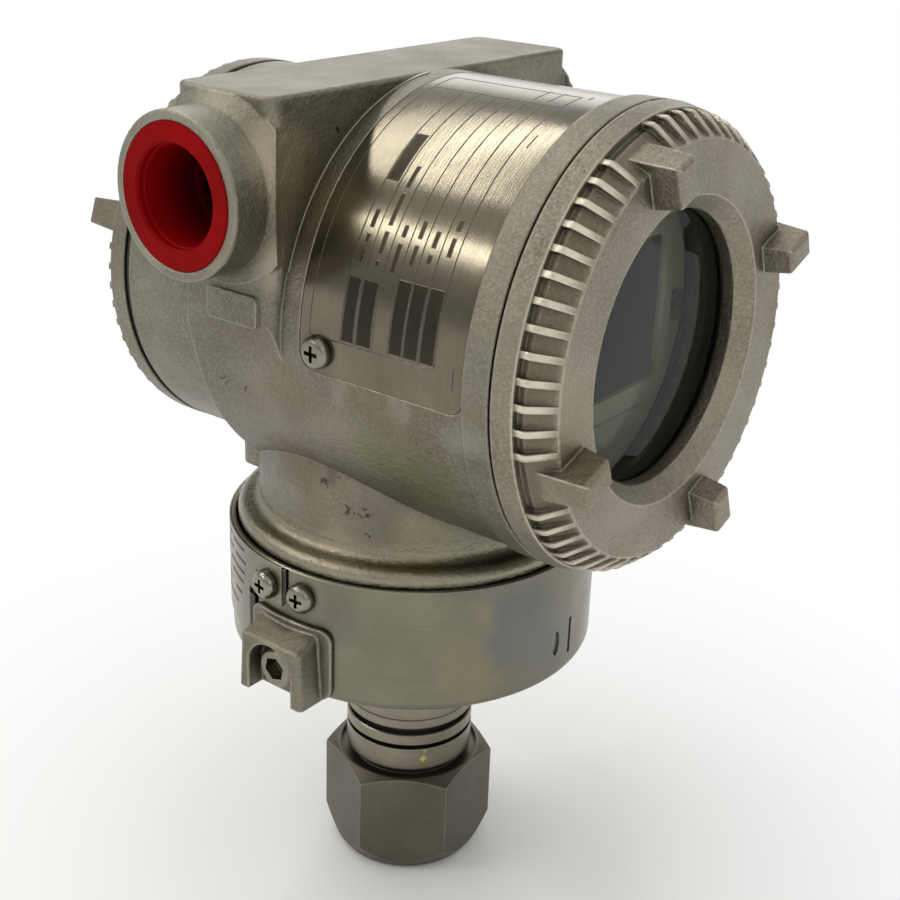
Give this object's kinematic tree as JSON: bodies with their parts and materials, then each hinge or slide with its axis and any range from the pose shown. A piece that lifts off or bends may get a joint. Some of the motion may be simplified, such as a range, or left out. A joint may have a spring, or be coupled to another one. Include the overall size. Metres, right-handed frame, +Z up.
{
  "type": "pressure transmitter",
  "caption": "In-line pressure transmitter in cast stainless steel: hexagon process connection, sensor cup, twin-compartment housing with screwed covers, window and display.",
  "frame": {"origin": "centre of the bottom face of the hexagon process connection, the mouth of its tapped port", "axes": "+Z up along the stem, -Y out of the display window, -X out of the plugged conduit entry"},
  "size_m": [0.0949, 0.1107, 0.1585],
  "materials": {
    "cast_stainless": "blasted casting",
    "turned_stainless": "turned, dull",
    "band_stainless": "drawn and lightly polished, heat tint",
    "plate_stainless": "rolled plate, dark marking",
    "bright_screws": "bright zinc or stainless",
    "red_plastic": "glossy red",
    "rubber_black": "black seal",
    "window": "clear",
    "black_ring": "black",
    "display_plastic": "pale grey green",
    "screen_dark": "dark liquid crystal screen",
    "circuit_board": "green laminate",
    "black_plastic": "moulded",
    "gold_pins": "plated",
    "lead_sheath": "grey sheath",
    "terminal_plastic": "moulded",
    "diaphragm_alloy": "thin rolled foil"
  },
  "bodies": {
    "sensor": {"process_connection": "turned_stainless", "stem_collar": "turned_stainless", "stem_ring": "turned_stainless", "sensor_stem": "turned_stainless", "isolating_diaphragm": "diaphragm_alloy", "sensor_capsule": "turned_stainless", "capsule_header": "turned_stainless", "header_pins": "gold_pins", "sensor_lead": "lead_sheath", "sensor_cup": "band_stainless", "lock_guard": "cast_stainless", "lock_screw": "turned_stainless", "tag_plate": "plate_stainless", "band_screws": "bright_screws", "hub_clip": "bright_screws", "neck_o_ring": "rubber_black"},
    "housing": {"housing": "cast_stainless", "nameplate": "plate_stainless", "nameplate_screws": "bright_screws", "amplifier_case": "black_plastic", "amplifier_screws": "bright_screws", "main_board": "circuit_board", "power_board": "circuit_board", "board_connector": "black_plastic", "board_parts": "black_plastic", "display_case": "display_plastic", "display_screen": "screen_dark", "display_board": "circuit_board", "display_screws": "black_ring", "lead_socket": "black_plastic", "amplifier_lead": "lead_sheath", "bulkhead_feedthrough": "black_plastic", "feedthrough_pins": "gold_pins", "terminal_block": "terminal_plastic", "terminal_clamps": "bright_screws", "terminal_screws": "bright_screws", "terminal_block_screws": "bright_screws", "ground_clamp": "bright_screws", "ground_screw": "bright_screws", "blanking_plug": "turned_stainless"},
    "front_seal": {"front_cover_o_ring": "rubber_black"},
    "front_cover": {"front_cover": "cast_stainless", "glass_gasket": "rubber_black", "window_glass": "window", "glass_retainer": "black_ring"},
    "rear_seal": {"rear_cover_o_ring": "rubber_black"},
    "rear_cover": {"rear_cover": "cast_stainless"},
    "dust_plug": {"dust_plug": "red_plastic"},
    "zero_screw": {"zero_screw": "turned_stainless", "zero_screw_o_ring": "rubber_black"}
  },
  "joints": [
    {"name": "housing_turn", "type": "hinge", "parent": "sensor", "child": "housing", "pos_m": [0, 0, 0.074], "axis": [0, 0, 1], "range_deg": [-180, 180]},
    {"name": "front_cover_travel", "type": "slide", "parent": "housing", "child": "front_seal", "axis": [0, -1, 0], "range_m": [0, 0.0121]},
    {"name": "front_cover_screw", "type": "hinge", "parent": "front_seal", "child": "front_cover", "pos_m": [0, -0.05, 0.119], "axis": [0, -1, 0], "range_deg": [0, 2160]},
    {"name": "rear_cover_travel", "type": "slide", "parent": "housing", "child": "rear_seal", "axis": [0, 1, 0], "range_m": [0, 0.0111]},
    {"name": "rear_cover_screw", "type": "hinge", "parent": "rear_seal", "child": "rear_cover", "pos_m": [0, 0.042, 0.119], "axis": [0, 1, 0], "range_deg": [0, 1980]},
    {"name": "dust_plug_pull", "type": "slide", "parent": "housing", "child": "dust_plug", "axis": [-1, 0, 0], "range_m": [0, 0.016]},
    {"name": "zero_screw_turn", "type": "hinge", "parent": "housing", "child": "zero_screw", "pos_m": [0.03204, -0.022, 0.1005], "axis": [0.866, 0, -0.5], "continuous": true}
  ],
  "couplings": [
    {"joint": "front_cover_travel", "follows": "front_cover_screw", "m_per_rad": 0.00031831},
    {"joint": "rear_cover_travel", "follows": "rear_cover_screw", "m_per_rad": 0.00031831}
  ]
}
